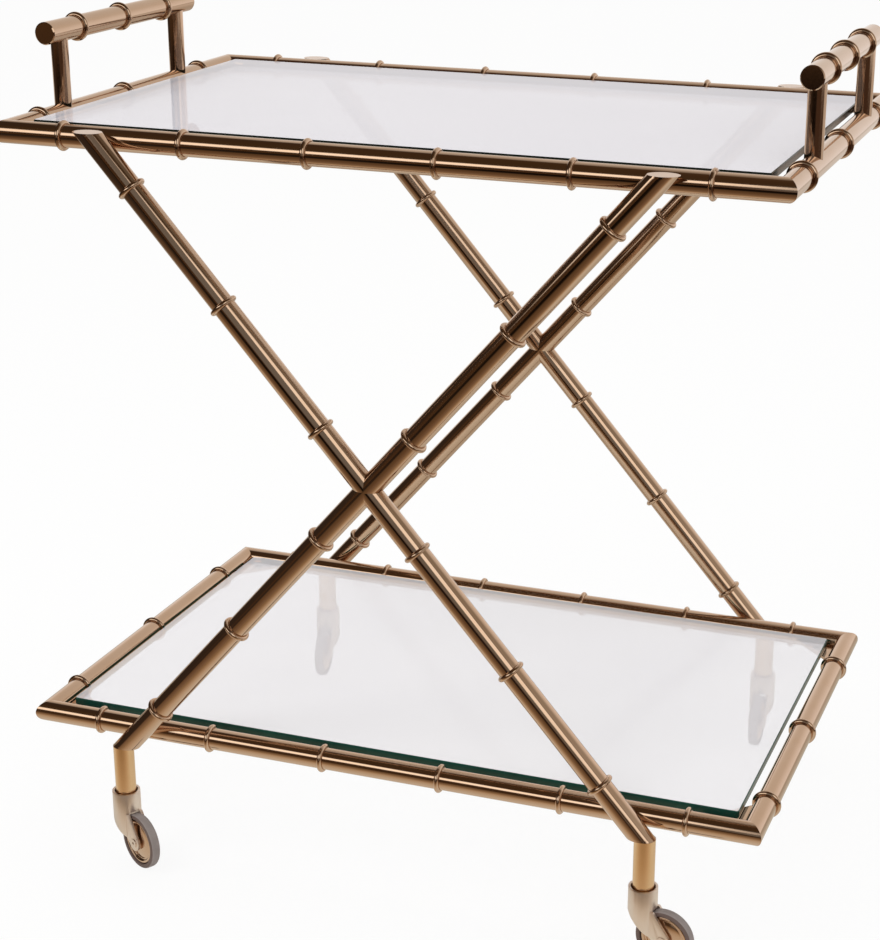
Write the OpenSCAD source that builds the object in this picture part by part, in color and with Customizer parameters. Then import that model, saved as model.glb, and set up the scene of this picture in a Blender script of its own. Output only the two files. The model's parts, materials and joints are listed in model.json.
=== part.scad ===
// Dessert trolley: two glass trays framed in bamboo-ringed tube, carried by two crossed pairs of legs
// on four swivel casters. Millimetres, +Z up, +X to the right and -Y to the front.
// The origin is on the floor, midway between the four swivel axes.

/* [Tubes] */
// Outside diameter of the rails, the legs and the handle bars
tube_d = 22; // [18:0.5:26]
// Wall of every tube
tube_wall = 1.5; // [1:0.25:2.5]
// Outside diameter of the four feet
foot_d = 21; // [18:0.5:21.5]
// Outside diameter of the handle posts
post_d = 17; // [12:0.5:20]

/* [Trays] */
// Length of a tray, between the centres of its short rails
tray_l = 750; // [650:5:900]
// Depth of a tray, between the centres of its long rails
tray_w = 465; // [380:5:560]
// Height from the lower rails' centres to the upper rails' centres
tray_rise = 606; // [450:2:700]

/* [Legs] */
// How far from the middle a leg's centre line is, level with the upper rails
leg_span_top = 266; // [200:1:290]
// How far from the middle a leg's centre line is, level with the lower rails
leg_span_low = 262; // [200:1:290]
// Depth to which the legs are coped into the sides of the rails
leg_cope = 0.5; // [0.2:0.1:2]
// Drop from the top of the upper rails to the flat cut of the legs
leg_top_drop = 1.5; // [0:0.25:5]
// Drop from the lower rails' centres to the flat cut where the feet are welded on
leg_tail = 13; // [11:0.5:25]
// Length of a foot tube
foot_l = 64; // [50:1:90]
// Thickness of the plates that close the ends of the legs
end_plate_t = 2; // [1:0.25:4]

/* [Rings] */
// How far a ring stands out from its tube
ring_rise = 3.3; // [2:0.1:4]
// Width of a ring along its tube
ring_w = 5.4; // [3:0.2:8]
// Spacing of the rings on a long rail, as many as fit between the corner tabs
long_rail_ring_step = 125; // [100:1:126]
// Spacing of the rings on a short rail, as many as fit between the corner tabs
short_rail_ring_step = 165; // [110:1:165]
// How far down a leg its upper rings sit, from the level of the upper rails
leg_ring_drops = [53, 189, 334];
// How far up a leg its lower rings sit, from the level of the lower rails
leg_ring_rises = [46, 182, 324];
// Spacing of the three rings on a handle bar
bar_ring_step = 86; // [60:1:96]

/* [Handles] */
// Height from the upper rails' centres to the handle bars' centres
handle_rise = 81; // [60:1:120]
// How far towards the front the handles and the short rails' rings are set
side_shift = 8; // [0:1:8]
// Length of a handle bar without its end caps
bar_l = 284; // [264:2:340]
// Distance between the two posts of a handle
post_step = 238; // [210:2:256]
// Thickness of the caps on the ends of the handle bars
bar_cap_t = 3; // [2:0.5:6]
// Chamfer round the edge of those caps
bar_cap_chamfer = 1; // [0.5:0.25:1.5]

/* [Glass] */
// Thickness of the glass panes
pane_t = 8; // [5:0.5:9]
// Gap between a pane's ends and the short rails
pane_end_gap = 7; // [5:0.5:12]
// Gap between a pane's sides and the long rails
pane_side_gap = 8; // [5:0.5:14]
// Radius of the panes' corners
pane_corner_r = 3; // [1:0.5:8]
// Length of a corner tab along each rail
tab_leg = 44; // [36:1:70]
// Thickness of the corner tabs
tab_t = 3; // [2:0.5:5]
// Thickness of the clear pads that the panes rest on
pad_t = 1.2; // [0.8:0.1:2.5]
// Diameter of those pads
pad_d = 9; // [6:0.5:12]
// How far a pad's centre is set in from the inside faces of both rails
pad_inset = 17; // [15:0.5:18]

/* [Casters] */
// Outside diameter of the tyres
wheel_d = 58; // [48:1:70]
// Width of the tyres
wheel_w = 10.5; // [9:0.5:18]
// Thickness of the rubber on the wheels
tyre_t = 5; // [3:0.5:7]
// Wall of the wheel's boss round the axle
hub_boss_wall = 3; // [2:0.25:4]
// Width of the raised rim of the wheel
hub_rim_w = 3.5; // [2.5:0.25:5]
// Width of the groove between that rim and the domed middle
hub_groove_w = 2.5; // [1:0.25:3.5]
// Distance from the swivel axis to the wheel's axle
trail = 24; // [20:0.5:30]
// Drop from the top of the tyre to the underside of the cup
fork_drop = 4; // [0:0.5:7]
// Outside diameter of the cup that turns round the foot
cup_d = 28.6; // [27.5:0.2:34]
// Height of the cup
cup_h = 24.5; // [22:0.5:40]
// Wall of the cup round its mouth
cup_wall = 2.3; // [1.5:0.1:2.6]
// Thickness of the cup's floor
cup_floor_t = 10; // [8:0.5:12]
// Thickness of a fork arm
arm_t = 3; // [2:0.25:4]
// Radius of the fork's round end at the axle
arm_end_r = 8.5; // [6:0.25:11]
// Diameter of the wheel's axle rivet
axle_d = 6; // [4:0.5:8]
// Diameter of the rivet's heads
axle_head_d = 9; // [8.5:0.5:12]
// How far the rivet's heads stand out from the fork
axle_head_t = 1; // [0.5:0.25:2]
// Diameter of the pin that the cup turns on
stem_d = 8; // [6:0.5:8.5]
// Diameter of the head that holds the cup on its pin
stem_head_d = 11; // [9:0.5:11]
// Thickness of that head
stem_head_t = 1.8; // [1:0.2:2]
// Depth to which that head is recessed in the cup's floor
head_recess = 1; // [0.5:0.25:2]
// Length of the plug that holds the pin inside the foot
plug_l = 16; // [10:1:30]
// Thickness of the thrust washer between the foot and the cup's floor
washer_t = 1.4; // [1:0.1:3]
// Direction in which each caster trails, in degrees from +X towards +Y
front_left_turn = -29; // [-180:1:180]
// The same for the front right caster
front_right_turn = -8; // [-180:1:180]
// The same for the back left caster
back_left_turn = -80; // [-180:1:180]
// The same for the back right caster
back_right_turn = -88; // [-180:1:180]

/* [Clearances] */
// Gap left by a coped, sleeved or glued joint
seat_gap = 0.05; // [0.02:0.01:0.1]
// Radial clearance of the turning pins and axles
running_gap = 0.08; // [0.03:0.01:0.1]
// Least gap between a ring and a corner tab or a leg
ring_clear = 1; // [0.5:0.25:3]
// End clearance of the swivels
thrust_gap = 0.3; // [0.2:0.05:0.6]
// Gap on each side of the hub between the fork arms
side_gap = 0.8; // [0.4:0.1:1.5]
// Gap between the tyre and the fork's crown
crown_gap = 2; // [1:0.25:4]

/* [Hidden] */
$fn = 96;
BRASS = "#bd9268";
PALE_BRASS = "#cdb49a";
STEEL = "#b9bcc0";
RUBBER = "#6f625c";
CLEAR = [0.86, 0.94, 0.92, 0.35];
PAD_CLEAR = [0.92, 0.92, 0.9, 0.6];
NYLON = "#e8e4da";

tube_r = tube_d / 2;
far = 2 * (tray_l + tray_w + tray_rise);   // longer than anything it has to cut through

// heights, from the floor up
axle_z = wheel_d / 2;
cup_z = wheel_d - fork_drop;
cup_floor_z = cup_z + cup_floor_t;
stem_head_z = cup_z + head_recess;
cup_top_z = cup_z + cup_h;
foot_z = cup_floor_z + thrust_gap + washer_t;
leg_end_z = foot_z + foot_l;
lower_z = leg_end_z + leg_tail;
upper_z = lower_z + tray_rise;
leg_top_z = upper_z + tube_r - leg_top_drop;
bar_z = upper_z + handle_rise;

// the crossed legs
leg_y = tray_w / 2 + tube_d - leg_cope;
leg_slope = (leg_span_top + leg_span_low) / tray_rise;
leg_tilt = atan(leg_slope);
cross_z = upper_z - leg_span_top / leg_slope;
function leg_x(z) = (cross_z - z) * leg_slope;   // a leg that leans to the right as it goes down
leg_reach = (leg_top_z - leg_end_z) / cos(leg_tilt);
foot_x = leg_x(leg_end_z) + tube_r / cos(leg_tilt) - foot_d / 2;

// how close the middle of a ring may come to the middle of a leg: along a rail, and along the other leg
leg_keep = tube_r / cos(leg_tilt) + (tube_r + ring_rise) * tan(leg_tilt) + ring_w / 2 + ring_clear;
crossing_keep = tube_d + ring_w + ring_clear;

// the fork
slot_w = wheel_w + 2 * side_gap;
fork_w = slot_w + 2 * arm_t;
hub_r = wheel_d / 2 - tyre_t;

// ---- tubes and rings ----

module tube_solid(d, length) {
    cylinder(h = length, d = d, center = true);
}

module tube(d, length) {
    difference() {
        cylinder(h = length, d = d, center = true);
        cylinder(h = length + 2, d = d - 2 * tube_wall, center = true);
    }
}

// lays its children, drawn along Z, along X or along Y
module along_x() { rotate([0, 90, 0]) children(); }
module along_y() { rotate([90, 0, 0]) children(); }

// a half-round bead that slides onto a tube
module ring() {
    bore_r = tube_r + seat_gap;
    steps = 8;
    rotate_extrude()
        polygon([for (i = [0 : steps])
            let (a = 180 * i / steps)
            [bore_r + (tube_r + ring_rise - bore_r) * sin(a), -ring_w / 2 * cos(a)]]);
}

module rings_at(places) {
    for (p = places)
        translate([0, 0, p]) ring();
}

// ---- trays ----

// keeps what is within a mitred rail that runs along X, with its middle on the Y axis
module mitre_x(length) {
    intersection() {
        children();
        linear_extrude(height = 2 * tube_d, center = true)
            polygon([
                [-length / 2 - tube_d, -tube_d], [length / 2 + tube_d, -tube_d],
                [length / 2 - tube_d, tube_d], [-length / 2 + tube_d, tube_d]]);
    }
}

module rail(length) {
    mitre_x(length) along_x() tube(tube_d, length + 2 * tube_d);
}

module long_rail(z, side) {
    color(BRASS)
        translate([0, side * tray_w / 2, z])
            rotate([0, 0, side > 0 ? 180 : 0]) rail(tray_l);
}

module short_rail(z, side) {
    color(BRASS)
        translate([side * tray_l / 2, 0, z])
            rotate([0, 0, side * 90]) rail(tray_w);
}

module rail_solids(z, grow) {
    for (side = [-1, 1]) {
        translate([0, side * tray_w / 2, z]) along_x() tube_solid(tube_d + 2 * grow, tray_l);
        translate([side * tray_l / 2, 0, z]) along_y() tube_solid(tube_d + 2 * grow, tray_w);
    }
}

// places of the rings on a rail, about its middle or shifted, as many as fit between the tabs
function ring_places(length, step, shift = 0) =
    let (
        free = length - 2 * (tube_r + tab_leg + ring_w / 2 + ring_clear + abs(shift)),
        n = floor(free / step) + 1)
    [for (i = [0 : n - 1]) shift + (i - (n - 1) / 2) * step];

// span is how far from the middle the legs pass these rails
module tray_rings(z, span) {
    long_places = [for (p = ring_places(tray_l, long_rail_ring_step)) if (abs(abs(p) - span) > leg_keep) p];
    short_places = ring_places(tray_w, short_rail_ring_step, side_shift);
    color(BRASS)
        for (side = [-1, 1]) {
            translate([0, side * tray_w / 2, z]) along_x() rings_at(long_places);
            translate([side * tray_l / 2, 0, z]) along_y() rings_at(short_places);
        }
}

module tray_tabs(z) {
    reach = tube_r + tab_leg;   // from the rails' centres
    color(BRASS)
        difference() {
            for (sx = [-1, 1], sy = [-1, 1])
                translate([sx * tray_l / 2, sy * tray_w / 2, z - tab_t])
                    linear_extrude(height = tab_t)
                        polygon([
                            [0, 0], [-sx * reach, 0], [-sx * reach, -sy * tube_r],
                            [-sx * tube_r, -sy * reach], [0, -sy * reach]]);
            rail_solids(z, seat_gap);
        }
}

module glass_pads(z) {
    inset = tube_r + pad_inset;
    color(PAD_CLEAR)
        for (sx = [-1, 1], sy = [-1, 1])
            translate([sx * (tray_l / 2 - inset), sy * (tray_w / 2 - inset), z])
                cylinder(h = pad_t, d = pad_d);
}

module pane(z) {
    l = tray_l - tube_d - 2 * pane_end_gap;
    w = tray_w - tube_d - 2 * pane_side_gap;
    r = pane_corner_r;
    color(CLEAR)
        translate([0, 0, z + pad_t])
            linear_extrude(height = pane_t) {
                square([l - 2 * r, w], center = true);
                square([l, w - 2 * r], center = true);
                for (sx = [-1, 1], sy = [-1, 1])
                    translate([sx * (l / 2 - r), sy * (w / 2 - r)]) circle(r = r);
            }
}

// ---- legs and feet ----

// puts a leg, drawn along Z about its crossing, in its place; lean is 1 where it goes down to the right
module on_leg(side, lean) {
    translate([0, side * leg_y, cross_z]) rotate([0, -lean * leg_tilt, 0]) children();
}

// keeps what lies between two heights
module between(low, high) {
    intersection() {
        children();
        translate([-far / 2, -far / 2, low]) cube([far, far, high - low]);
    }
}

module leg_tube(side, lean, low, high) {
    difference() {
        between(low, high) on_leg(side, lean) tube(tube_d, leg_reach + 4 * tube_d);
        rail_solids(lower_z, seat_gap);
        rail_solids(upper_z, seat_gap);
    }
}

module through_leg(side) {
    color(BRASS) leg_tube(side, -1, leg_end_z + end_plate_t, leg_top_z - end_plate_t);
}

// one half of the leg that is cut in two and coped onto the through leg
module cross_leg(side, low, high) {
    color(BRASS)
        difference() {
            leg_tube(side, 1, low, high);
            on_leg(side, -1) tube_solid(tube_d + 2 * seat_gap, leg_reach + 4 * tube_d);
        }
}

module cross_leg_upper(side) { cross_leg(side, cross_z, leg_top_z - end_plate_t); }
module cross_leg_lower(side) { cross_leg(side, leg_end_z + end_plate_t, cross_z); }

module leg_end_plate(side, lean, low) {
    difference() {
        between(low, low + end_plate_t)
            on_leg(side, lean) tube_solid(tube_d, leg_reach + 4 * tube_d);
        rail_solids(lower_z, seat_gap);
        rail_solids(upper_z, seat_gap);
    }
}

module leg_end_plates() {
    color(BRASS)
        for (side = [-1, 1], lean = [-1, 1]) {
            leg_end_plate(side, lean, leg_end_z);
            leg_end_plate(side, lean, leg_top_z - end_plate_t);
        }
}

module leg_rings(side) {
    upper_run = leg_span_top / sin(leg_tilt);
    lower_run = leg_span_low / sin(leg_tilt);
    places = concat(
        [for (d = leg_ring_drops) upper_run - d],
        [for (r = leg_ring_rises) r - lower_run]);
    color(BRASS)
        for (lean = [-1, 1])
            on_leg(side, lean) rings_at([for (p = places) if (abs(p) > crossing_keep) p]);
}

module foot(sx, sy) {
    color(BRASS)
        translate([sx * foot_x, sy * leg_y, foot_z + foot_l / 2]) tube(foot_d, foot_l);
}

// ---- handles ----

// a point over the middle of a handle
function handle_at(side, z) = [side * tray_l / 2, -side_shift, z];

module handle_bar(side) {
    color(BRASS) translate(handle_at(side, bar_z)) along_y() tube(tube_d, bar_l);
}

module handle_post(side, end) {
    color(BRASS)
        difference() {
            translate(handle_at(side, (upper_z + bar_z) / 2) + [0, end * post_step / 2, 0])
                tube(post_d, handle_rise);
            rail_solids(upper_z, seat_gap);
            translate(handle_at(side, bar_z)) along_y() tube_solid(tube_d + 2 * seat_gap, bar_l);
        }
}

module bar_end_caps() {
    color(BRASS)
        for (side = [-1, 1], end = [-1, 1])
            translate(handle_at(side, bar_z) + [0, end * bar_l / 2, 0]) rotate([-90 * end, 0, 0]) {
                cylinder(h = bar_cap_t - bar_cap_chamfer, d = tube_d);
                translate([0, 0, bar_cap_t - bar_cap_chamfer])
                    cylinder(h = bar_cap_chamfer, d1 = tube_d, d2 = tube_d - 2 * bar_cap_chamfer);
            }
}

module handle_rings() {
    color(BRASS)
        for (side = [-1, 1])
            translate(handle_at(side, bar_z))
                along_y() rings_at([-bar_ring_step, 0, bar_ring_step]);
}

// ---- casters: drawn about the swivel axis, trailing along +X ----

module at_foot(sx, sy, turn = 0) {
    translate([sx * foot_x, sy * leg_y, 0]) rotate([0, 0, turn]) children();
}

// the point where a line from p touches a circle
function touch(p, centre, r, side) =
    let (v = p - centre, spread = acos(r / norm(v)), heading = atan2(v[1], v[0]))
    centre + r * [cos(heading + side * spread), sin(heading + side * spread)];

// side view of the arms and the crown that joins them to the cup
module fork_side() {
    axle = [trail, axle_z];
    shoulder_z = cup_z + cup_floor_t / 3;
    left = [-cup_d / 2, shoulder_z];
    right = [cup_d / 2, shoulder_z];
    inner_r = arm_end_r - seat_gap;   // the edges run just into the round end
    polygon([left, touch(left, axle, inner_r, 1), axle, touch(right, axle, inner_r, -1), right]);
    translate(axle) circle(r = arm_end_r);
}

// plan of the arms: as round as the cup behind, straight in front
module fork_plan() {
    circle(d = cup_d);
    translate([0, -fork_w / 2]) square([trail + 2 * arm_end_r, fork_w]);
}

module fork() {
    color(PALE_BRASS)
        difference() {
            union() {
                translate([0, 0, cup_z]) cylinder(h = cup_h, d = cup_d);
                intersection() {
                    along_y() linear_extrude(height = fork_w + cup_d, center = true) fork_side();
                    linear_extrude(height = cup_top_z) fork_plan();
                }
            }
            translate([0, 0, cup_floor_z]) cylinder(h = cup_h, d = cup_d - 2 * cup_wall);
            cylinder(h = cup_top_z, d = stem_d + 2 * running_gap);
            cylinder(h = stem_head_z + stem_head_t + thrust_gap, d = stem_head_d + 2 * thrust_gap);
            translate([trail, 0, axle_z]) along_y() {
                cylinder(h = slot_w, r = axle_z + crown_gap, center = true);
                cylinder(h = 2 * fork_w, d = axle_d + 2 * seat_gap, center = true);
            }
        }
}

module axle() {
    dimple_d = axle_d / 2;
    color(PALE_BRASS)
        translate([trail, 0, axle_z]) along_y() difference() {
            union() {
                cylinder(h = fork_w + axle_head_t, d = axle_d, center = true);
                for (end = [-1, 1])
                    translate([0, 0, end * (fork_w + axle_head_t) / 2])
                        cylinder(h = axle_head_t, d = axle_head_d, center = true);
            }
            for (end = [-1, 1])
                translate([0, 0, end * (fork_w / 2 + axle_head_t)])
                    cylinder(h = 2 * axle_head_t, d = dimple_d, center = true);
        }
}

// half of the hub's section, from the bore out: boss, dome, groove and rim
function hub_half(s) =
    let (
        boss_r = axle_d / 2 + hub_boss_wall,
        rim_r = hub_r - hub_rim_w,
        rim_h = wheel_w / 2 - 1,
        web_h = wheel_w / 5)
    [
        [axle_d / 2 + running_gap, s * wheel_w / 2],
        [boss_r, s * wheel_w / 2],
        [boss_r + 0.6, s * (rim_h - 0.2)],
        [(boss_r + rim_r) / 2, s * (rim_h - 0.6)],
        [rim_r - hub_groove_w, s * web_h],
        [rim_r - 0.8, s * web_h],
        [rim_r, s * (rim_h - 0.8)],
        [rim_r + 0.8, s * rim_h],
        [hub_r - 0.8, s * rim_h],
        [hub_r, s * (rim_h - 0.8)]
    ];

function reversed(list) = [for (i = [len(list) - 1 : -1 : 0]) list[i]];

module hub() {
    color(BRASS)
        translate([trail, 0, axle_z]) along_y()
            rotate_extrude() polygon(concat(hub_half(1), reversed(hub_half(-1))));
}

// half of the tyre's section: a flat tread with rounded shoulders
function tyre_half(s) =
    let (shoulder = tyre_t * 0.6, out_r = wheel_d / 2)
    concat(
        [[hub_r + seat_gap, s * (wheel_w / 2 - 0.5)], [hub_r + 0.8, s * wheel_w / 2]],
        [for (i = [0 : 5])
            let (a = 90 - 18 * i)
            [out_r - shoulder + shoulder * cos(a), s * (wheel_w / 2 - shoulder + shoulder * sin(a))]]);

module tyre() {
    color(RUBBER)
        translate([trail, 0, axle_z]) along_y()
            rotate_extrude() polygon(concat(tyre_half(1), reversed(tyre_half(-1))));
}

// the turned piece that is pressed into the foot: a plug, the swivel pin and its head
module stem() {
    color(STEEL) {
        translate([0, 0, foot_z]) cylinder(h = plug_l, d = foot_d - 2 * tube_wall - 2 * seat_gap);
        translate([0, 0, stem_head_z]) {
            cylinder(h = foot_z + plug_l - stem_head_z, d = stem_d);
            cylinder(h = stem_head_t, d = stem_head_d);
        }
    }
}

module swivel_washers() {
    color(NYLON)
        for (sx = [-1, 1], sy = [-1, 1])
            at_foot(sx, sy) translate([0, 0, foot_z - washer_t]) difference() {
                cylinder(h = washer_t, d = foot_d);
                translate([0, 0, -1]) cylinder(h = washer_t + 2, d = stem_d + 2 * seat_gap);
            }
}

// ---- nodes ----

long_rail(upper_z, -1);  // upper_front_rail
long_rail(upper_z, 1);  // upper_back_rail
short_rail(upper_z, -1);  // upper_left_rail
short_rail(upper_z, 1);  // upper_right_rail
long_rail(lower_z, -1);  // lower_front_rail
long_rail(lower_z, 1);  // lower_back_rail
short_rail(lower_z, -1);  // lower_left_rail
short_rail(lower_z, 1);  // lower_right_rail
tray_rings(upper_z, leg_span_top);  // upper_tray_rings
tray_rings(lower_z, leg_span_low);  // lower_tray_rings
tray_tabs(upper_z);  // upper_tray_tabs
tray_tabs(lower_z);  // lower_tray_tabs
glass_pads(upper_z);  // upper_glass_pads
glass_pads(lower_z);  // lower_glass_pads
pane(upper_z);  // upper_glass
pane(lower_z);  // lower_glass
through_leg(-1);  // front_through_leg
cross_leg_upper(-1);  // front_cross_leg_upper
cross_leg_lower(-1);  // front_cross_leg_lower
through_leg(1);  // back_through_leg
cross_leg_upper(1);  // back_cross_leg_upper
cross_leg_lower(1);  // back_cross_leg_lower
leg_end_plates();
leg_rings(-1);  // front_leg_rings
leg_rings(1);  // back_leg_rings
foot(-1, -1);  // front_left_foot
foot(1, -1);  // front_right_foot
foot(-1, 1);  // back_left_foot
foot(1, 1);  // back_right_foot
handle_bar(-1);  // left_handle_bar
handle_bar(1);  // right_handle_bar
bar_end_caps();
handle_rings();
handle_post(-1, -1);  // left_front_post
handle_post(-1, 1);  // left_back_post
handle_post(1, -1);  // right_front_post
handle_post(1, 1);  // right_back_post
at_foot(-1, -1) stem();  // front_left_stem
at_foot(1, -1) stem();  // front_right_stem
at_foot(-1, 1) stem();  // back_left_stem
at_foot(1, 1) stem();  // back_right_stem
swivel_washers();
at_foot(-1, -1, front_left_turn) fork();  // front_left_fork
at_foot(-1, -1, front_left_turn) axle();  // front_left_axle
at_foot(-1, -1, front_left_turn) hub();  // front_left_hub
at_foot(-1, -1, front_left_turn) tyre();  // front_left_tyre
at_foot(1, -1, front_right_turn) fork();  // front_right_fork
at_foot(1, -1, front_right_turn) axle();  // front_right_axle
at_foot(1, -1, front_right_turn) hub();  // front_right_hub
at_foot(1, -1, front_right_turn) tyre();  // front_right_tyre
at_foot(-1, 1, back_left_turn) fork();  // back_left_fork
at_foot(-1, 1, back_left_turn) axle();  // back_left_axle
at_foot(-1, 1, back_left_turn) hub();  // back_left_hub
at_foot(-1, 1, back_left_turn) tyre();  // back_left_tyre
at_foot(1, 1, back_right_turn) fork();  // back_right_fork
at_foot(1, 1, back_right_turn) axle();  // back_right_axle
at_foot(1, 1, back_right_turn) hub();  // back_right_hub
at_foot(1, 1, back_right_turn) tyre();  // back_right_tyre
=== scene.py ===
# %% [markdown]
# # A dessert trolley in polished brass and glass
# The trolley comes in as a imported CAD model: tubes, rings, panes and casters, each a node that rides on a
# body. This lesson dresses it. It sets up the camera and a small photo studio, finishes the metal, glass and
# rubber, and builds the pieces that need more detail than the CAD holds.

# %% The frame
import json
import math
from collections import namedtuple

import bmesh
import bpy
import numpy
from mathutils import Matrix, Vector


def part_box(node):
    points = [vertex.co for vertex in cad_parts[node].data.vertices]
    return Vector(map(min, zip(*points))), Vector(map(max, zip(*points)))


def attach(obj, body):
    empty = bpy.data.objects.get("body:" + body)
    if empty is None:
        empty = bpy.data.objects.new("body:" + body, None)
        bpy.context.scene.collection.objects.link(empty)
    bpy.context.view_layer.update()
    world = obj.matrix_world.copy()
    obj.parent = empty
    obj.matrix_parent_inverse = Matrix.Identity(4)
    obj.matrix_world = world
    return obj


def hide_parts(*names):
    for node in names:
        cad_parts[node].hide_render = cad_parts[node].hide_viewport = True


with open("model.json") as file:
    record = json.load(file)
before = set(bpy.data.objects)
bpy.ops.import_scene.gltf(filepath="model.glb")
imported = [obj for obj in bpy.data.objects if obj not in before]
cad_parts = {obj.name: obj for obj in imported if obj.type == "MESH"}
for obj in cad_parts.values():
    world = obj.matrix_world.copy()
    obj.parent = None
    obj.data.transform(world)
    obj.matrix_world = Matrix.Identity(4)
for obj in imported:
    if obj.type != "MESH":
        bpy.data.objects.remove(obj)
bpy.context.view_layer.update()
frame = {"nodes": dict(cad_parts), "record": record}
nodes = frame["nodes"]
scene = bpy.context.scene
MM = 0.001

# %% [markdown]
# ## The camera
# A product photograph is a central projection, so a camera is settled by where it stands, which way it looks
# and its field of view. It stands to the right of the front and looks down by about 20 degrees. The
# photograph's frame was cut a little off centre, which Blender's shift gives without turning the camera.

# %% Camera
# the photograph's size, focal length and optical centre, in its pixels
PHOTO_SIZE = (880, 940)
FOCAL_PX = 2065.9
CENTRE_PX = (499.9, 503.1)
# degrees to the right of the front, degrees up, and degrees of tilt
AZIMUTH, ELEVATION, ROLL = 19.56, 20.29, 0.34
# the point that it looks at, and how far off it stands, in metres
TARGET, DISTANCE = Vector((0.04039, 0.0, 0.34727)), 2.16743
SENSOR_MM = 36
# it sees what lies between these distances, in metres
CLOSEST, FARTHEST = 0.05, 100


def add_camera():
    """Puts the camera where the photograph was taken from and returns it."""
    azimuth, elevation, roll = (math.radians(x) for x in (AZIMUTH, ELEVATION, ROLL))
    forward = Vector((-math.sin(azimuth) * math.cos(elevation), math.cos(azimuth) * math.cos(elevation),
                      -math.sin(elevation)))
    level = Vector((math.cos(azimuth), math.sin(azimuth), 0))
    upright = level.cross(forward)
    right = level * math.cos(roll) + upright * math.sin(roll)
    up = upright * math.cos(roll) - level * math.sin(roll)
    data = bpy.data.cameras.new("camera")
    data.sensor_width = SENSOR_MM
    data.lens = FOCAL_PX / max(PHOTO_SIZE) * SENSOR_MM
    data.shift_x = (PHOTO_SIZE[0] / 2 - CENTRE_PX[0]) / max(PHOTO_SIZE)
    data.shift_y = (CENTRE_PX[1] - PHOTO_SIZE[1] / 2) / max(PHOTO_SIZE)
    data.clip_start, data.clip_end = CLOSEST, FARTHEST
    camera = bpy.data.objects.new("camera", data)
    scene.collection.objects.link(camera)
    turn = Matrix((right, up, -forward)).transposed().to_4x4()
    camera.matrix_world = Matrix.Translation(TARGET - forward * DISTANCE) @ turn
    return camera


scene.camera = add_camera()
print("camera at", [round(v, 3) for v in scene.camera.location])

# %% [markdown]
# ## Three helpers
# Every material below is a small node tree. One function turns the hex colours that a maker would quote into
# the linear values that the renderer works in, one adds a node with its settings and its links, and one
# starts a material.

# %% Helpers
def linear(hex_colour):
    """The linear RGBA of an sRGB hex colour."""
    channels = [int(hex_colour[i:i + 2], 16) / 255 for i in (1, 3, 5)]
    return (*[c / 12.92 if c <= 0.04045 else ((c + 0.055) / 1.055) ** 2.4 for c in channels], 1.0)


def add(tree, kind, settings=None, **inputs):
    """Adds a node, sets its properties, and fills its inputs with values or with other nodes' outputs.

    An input goes by its name, with _ for a space, or by in_ and its place in the node's list, as in in_0."""
    node = tree.nodes.new(kind)
    for name, value in (settings or {}).items():
        setattr(node, name, value)
    for name, value in inputs.items():
        key = int(name[3:]) if name.startswith("in_") else name.replace("_", " ")
        socket = node.inputs[key]
        if isinstance(value, bpy.types.NodeSocket):
            tree.links.new(value, socket)
        else:
            socket.default_value = value
    return node


def new_material(name):
    """An empty material and its tree."""
    material = bpy.data.materials.new(name)
    material.use_nodes = True
    material.node_tree.nodes.clear()
    return material, material.node_tree


# %% [markdown]
# ## The studio
# Polished metal has hardly any colour of its own: it shows the room. A white room would wash the tubes out,
# so the studio gives them something to show. The world is white. One dome round the trolley, that only
# reflections see, holds dark flags in front and to the left, a paler one to the right, the white sweep behind
# and three soft boxes. The floor is pale and keeps a faint shadow. A mirror sees on it a painted pool of
# light in its middle that falls off into painted shade.

# %% World
# the strength at which the white world lights the trolley; the eye sees it at 1, which is plain white
WORLD_LIGHT = 0.8
world = bpy.data.worlds.new("white_studio")
scene.world = world
world.use_nodes = True
world.node_tree.nodes.clear()
rays = add(world.node_tree, "ShaderNodeLightPath").outputs
seen = rays["Is Camera Ray"]
for ray in ("Is Glossy Ray", "Is Transmission Ray"):
    seen = add(world.node_tree, "ShaderNodeMath", {"operation": "MAXIMUM"},
               in_0=seen, in_1=rays[ray]).outputs[0]
strength = add(world.node_tree, "ShaderNodeMapRange", Value=seen, To_Min=WORLD_LIGHT, To_Max=1.0)
white = add(world.node_tree, "ShaderNodeBackground", Color=(1, 1, 1, 1), Strength=strength.outputs[0])
add(world.node_tree, "ShaderNodeOutputWorld", Surface=white.outputs[0])
scene.view_settings.view_transform = "Standard"
print("white world, strength", WORLD_LIGHT, "as a light")

# %% Flags, backdrop and soft boxes
DOME_RADIUS = 6.0
# the trolley's middle, which the dome is hung round and the lamps look at
MIDDLE = Vector((0, 0, 0.4))
# what a mirror sees above the floor on each side of the trolley: (degrees up, colour)
DARK_FRONT = [(0, "#4f3b28"), (13.5, "#44311f"), (45, "#483826"), (72, "#4a3826"), (90, "#544230")]
DARK_LEFT = [(0, "#3a3028"), (45, "#3a3028"), (72, "#4a3826"), (90, "#544230")]
PALE_RIGHT = [(0, "#d2cbc2"), (22.5, "#bdb6ac"), (37.8, "#988e80"), (54, "#6d6355"), (72, "#4e4030"),
              (90, "#544230")]
WHITE_BACK = [(0, "#fbf7f4"), (12.6, "#f1ece7"), (25.2, "#dfd8ce"), (45, "#d6d1ca"), (57.6, "#c2bdb6"),
              (70.2, "#9d958b"), (81, "#6b5e4e"), (90, "#544230")]
# the sides laid over the dark front: each has a direction, and starts and is full so far from it. All are in
# degrees, and directions count from the front to the right
SIDES = ((PALE_RIGHT, 95, 40, 22), (DARK_LEFT, -95, 45, 25), (WHITE_BACK, -4, 110, 136))
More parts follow.
